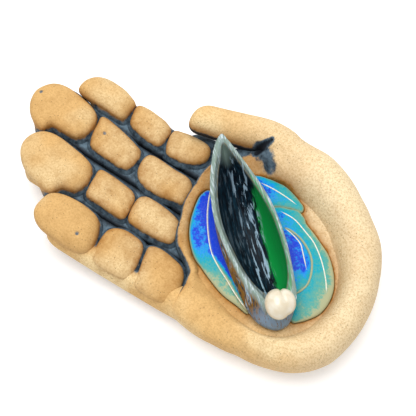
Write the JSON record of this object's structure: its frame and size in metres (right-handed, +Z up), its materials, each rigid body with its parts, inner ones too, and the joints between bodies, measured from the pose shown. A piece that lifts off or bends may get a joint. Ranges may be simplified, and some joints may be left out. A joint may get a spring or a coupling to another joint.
{
  "type": "ceramic hand sculpture",
  "caption": "Life-size palm-up stoneware hand with padded fingers, glazed petals in the cupped palm and a mussel-shaped dish that carries a baroque pearl.",
  "frame": {"origin": "middle of the footprint box, on the table under the foot ring", "axes": "+X from the fingertips to the heel of the hand, +Y to the thumb side, +Z up out of the palm"},
  "size_m": [0.2068, 0.1166, 0.0414],
  "materials": {
    "stoneware": "unglazed, speckled, matte",
    "stained_stoneware": "dark blue-grey oxide stain, matte",
    "petal_glaze": "turquoise and cobalt crackle glaze, gloss",
    "shell_glaze": "black and deep green glaze with pale streaks, gloss",
    "pearl_glaze": "cream-white lustre, gloss"
  },
  "bodies": {
    "root": {"palm": "stoneware", "thumb": "stoneware", "index_finger_coil": "stained_stoneware", "index_base_pad": "stoneware", "index_middle_pad": "stoneware", "index_tip_pad": "stoneware", "middle_finger_coil": "stained_stoneware", "middle_base_pad": "stoneware", "middle_middle_pad": "stoneware", "middle_tip_pad": "stoneware", "ring_finger_coil": "stained_stoneware", "ring_base_pad": "stoneware", "ring_middle_pad": "stoneware", "ring_tip_pad": "stoneware", "little_finger_coil": "stained_stoneware", "little_base_pad": "stoneware", "little_middle_pad": "stoneware", "little_tip_pad": "stoneware", "left_outer_petal": "petal_glaze", "left_inner_petal": "petal_glaze", "crest_petal": "petal_glaze", "right_outer_petal": "petal_glaze", "right_inner_petal": "petal_glaze", "mussel_shell": "shell_glaze", "pearl": "pearl_glaze"}
  },
  "joints": []
}
